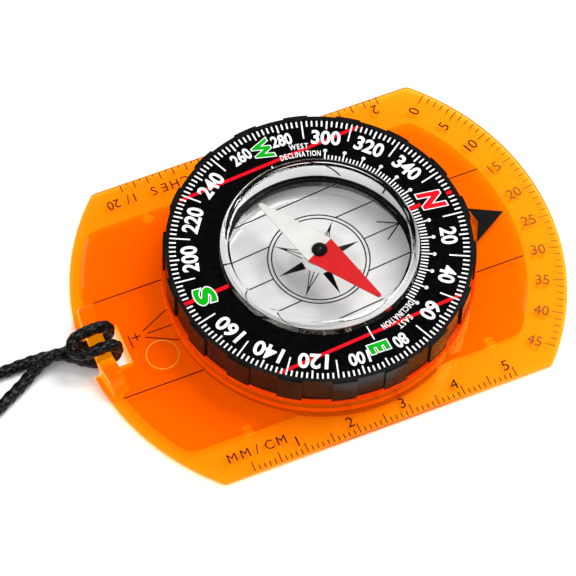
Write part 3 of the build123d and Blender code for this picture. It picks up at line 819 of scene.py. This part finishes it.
def print_capsule_floor():
    """Meridian lines, the orienting arrow, a double ring, an eight-pointed star, and a black ring of
    painted shade round the floor's edge.
    """
    marks = Ink(capsule_floor)
    spacing, thin, reach, ring, inner_ring = 6.2, 0.25, 16.3, 9.1, 8.4
    for number in (-2, -1, 0, 1, 2):
        x = number * spacing
        far = sqrt(reach**2 - x**2)
        if abs(x) > ring:
            marks.line((x, -far), (x, far), thin)
        else:
            near = sqrt(ring**2 - x**2)
            marks.line((x, -far), (x, -near), thin)
            marks.line((x, near), (x, far), thin)
    marks.line((-2.1, reach - 3.5), (0, reach), thin)
    marks.line((2.1, reach - 3.5), (0, reach), thin)
    for radius in (ring, inner_ring):
        marks.ring((0, 0), radius, thin)
    for azimuth in (0, 90, 180, 270):
        base, tip = at(3.0, azimuth), at(8.1, azimuth)
        aside = Vector(at(0.8, azimuth + 90))
        marks.shape([tuple(Vector(base) + aside), tip, tuple(Vector(base) - aside)])
    for azimuth in (45, 135, 225, 315):
        tip, neck = at(8.3, azimuth), at(5.9, azimuth)
        aside = Vector(at(0.28, azimuth + 90))
        marks.shape([tuple(Vector(neck) + aside), tip, tuple(Vector(neck) - aside)])
        for offset in (-0.85, 0, 0.85):
            root = Vector(at(2.8, azimuth)) + Vector(at(offset, azimuth + 90))
            end = Vector(neck) + Vector(at(offset * 0.28, azimuth + 90))
            marks.line(tuple(root), tuple(end), 0.17)
    marks.piece("capsule_floor_print", "ink_black", "capsule", "dial_print", capsule_turn)
    # painted shade: a black ring round the floor's edge, standing in for the shade along the capsule's wall
    rim = Ink(capsule_bottom + 0.05)
    rim.ring((0, 0), 16.75, 0.65)
    rim.piece("capsule_floor_shadow_ring", "ink_black", "capsule", "dial_print")


print_centimetres()
print_inches()
print_arc_scale()
print_panel()
print_dial()
print_capsule_floor()


# ------------------------------------------------------------------ capsule
lens_rounding = 1.2
lens_dip = 0.2  # the flat of the lens lies that far under its rim
lens_flat = capsule_radius - lens_rounding - 0.5
flange_low, flange_high = 10.85, 11.7


def turned_mesh(name, profile, steps=128):
    """A closed solid of revolution about the bezel's axis, from (radius, height) pairs."""
    mesh = bmesh.new()
    rows = []
    for radius, height in profile:
        if radius == 0:
            rows.append([mesh.verts.new((0, 0, height))])
            continue
        row = []
        for step in range(steps):
            angle = 2 * pi * step / steps
            row.append(mesh.verts.new((radius * cos(angle), radius * sin(angle), height)))
        rows.append(row)
    for row, following in zip(rows, rows[1:]):
        for step in range(steps):
            beside = (step + 1) % steps
            corners = [row[step % len(row)], row[beside % len(row)]]
            corners += [following[beside % len(following)], following[step % len(following)]]
            mesh.faces.new(dict.fromkeys(corners))  # at the axis two corners are one
    bmesh.ops.recalc_face_normals(mesh, faces=mesh.faces)
    data = bpy.data.meshes.new(name)
    mesh.to_mesh(data)
    mesh.free()
    data.transform(Matrix.Scale(MM, 4))
    data.shade_smooth()
    data.set_sharp_from_angle(angle=radians(32))
    return data


def add_capsule():
    """Cup, damping liquid and lens as one clear body, since light passes all three alike."""
    wall = capsule_radius - 0.55  # clear of the sealing ring
    profile = [(0, capsule_bottom), (wall - 0.4, capsule_bottom), (wall - 0.25, capsule_bottom)]
    profile += [(wall, capsule_bottom + 0.25), (wall, capsule_bottom + 0.4), (wall, flange_low)]
    profile += [(flange_radius, flange_low), (flange_radius, flange_high)]
    profile += [(capsule_radius, flange_high)]
    steps = 8
    for step in range(steps + 1):
        angle = pi / 2 * step / steps
        profile.append((
            capsule_radius - lens_rounding + lens_rounding * cos(angle),
            lens_top - lens_rounding + lens_rounding * sin(angle),
        ))
    flat_top = lens_top - lens_dip
    profile += [(lens_flat + 0.1, flat_top), (lens_flat, flat_top), (0, flat_top)]
    mesh = turned_mesh("capsule_body", profile)
    glass = add_piece("capsule_body", mesh, "clear_acrylic", "capsule")
    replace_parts(glass, "capsule_cup", "capsule_lens", "filling_plug")


add_capsule()


# ------------------------------------------------------------------ feet
def add_feet():
    """Soft clear pads, crowned on top, where they stand in the plate's recesses."""
    for number in (1, 2, 3, 4):
        node = f"foot_pad_{number}"
        low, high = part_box(node)
        radius, height = (high.x - low.x) / 2 / MM, high.z / MM
        rounding, crown, gap, steps = 0.12, 0.14, 0.02, 6
        profile = [(0, 0), (radius - rounding, 0), (radius, rounding), (radius, height - gap - crown)]
        for step in range(1, steps):
            share = step / steps
            profile.append((radius * (1 - share), height - gap - crown * (1 - share) ** 2))
        profile.append((0, height - gap))
        mesh = turned_mesh(f"soft_foot_{number}", profile, 48)
        mesh.transform(Matrix.Translation(((low.x + high.x) / 2, (low.y + high.y) / 2, 0)))
        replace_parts(add_piece(mesh.name, mesh, "clear_silicone", "baseplate"), node)


add_feet()


# ------------------------------------------------------------------ floor and light
floor_size = 3.0  # metres
floor_drop = 0.02


def add_floor():
    """A white floor, a hair under the object so that no two surfaces coincide."""
    mesh = bmesh.new()
    bmesh.ops.create_grid(mesh, x_segments=2, y_segments=2, size=floor_size)
    data = bpy.data.meshes.new("floor")
    mesh.to_mesh(data)
    mesh.free()
    floor = bpy.data.objects.new("floor", data)
    scene.collection.objects.link(floor)
    white = moulded("floor_white", (0.86, 0.86, 0.86), (0.88, 0.88, 0.88), 0.8, 0.9, 40, 0.0)
    data.materials.append(white)
    floor.location.z = -floor_drop * MM


def add_light(name, azimuth, elevation, distance, size, power):
    """A square soft light, aimed at the object.  Metres and watts."""
    data = bpy.data.lights.new(name, "AREA")
    data.shape = "SQUARE"
    data.size = size
    data.energy = power
    holder = bpy.data.objects.new(name, data)
    scene.collection.objects.link(holder)
    x, y = at(distance * cos(radians(elevation)), azimuth)
    spot = Vector((x, y, distance * sin(radians(elevation))))
    holder.matrix_world = Matrix.Translation(spot) @ spot.to_track_quat("Z", "Y").to_matrix().to_4x4()


def light_the_scene():
    """White surroundings, a soft key light from the front and a weaker one from the back."""
    world = bpy.data.worlds.new("studio")
    world.use_nodes = True
    world.node_tree.nodes["Background"].inputs["Color"].default_value = (1, 1, 1, 1)
    world.node_tree.nodes["Background"].inputs["Strength"].default_value = 0.75
    world.cycles_visibility.glossy = False  # only the lamps and the floor show in the gloss
    scene.world = world
    add_light("key", azimuth=345, elevation=66, distance=1.1, size=0.5, power=9.0)
    add_light("fill", azimuth=150, elevation=60, distance=1.2, size=0.8, power=3.0)
    scene.view_settings.view_transform = "Standard"
    scene.cycles.caustics_reflective = False
    scene.cycles.caustics_refractive = False


add_floor()
light_the_scene()
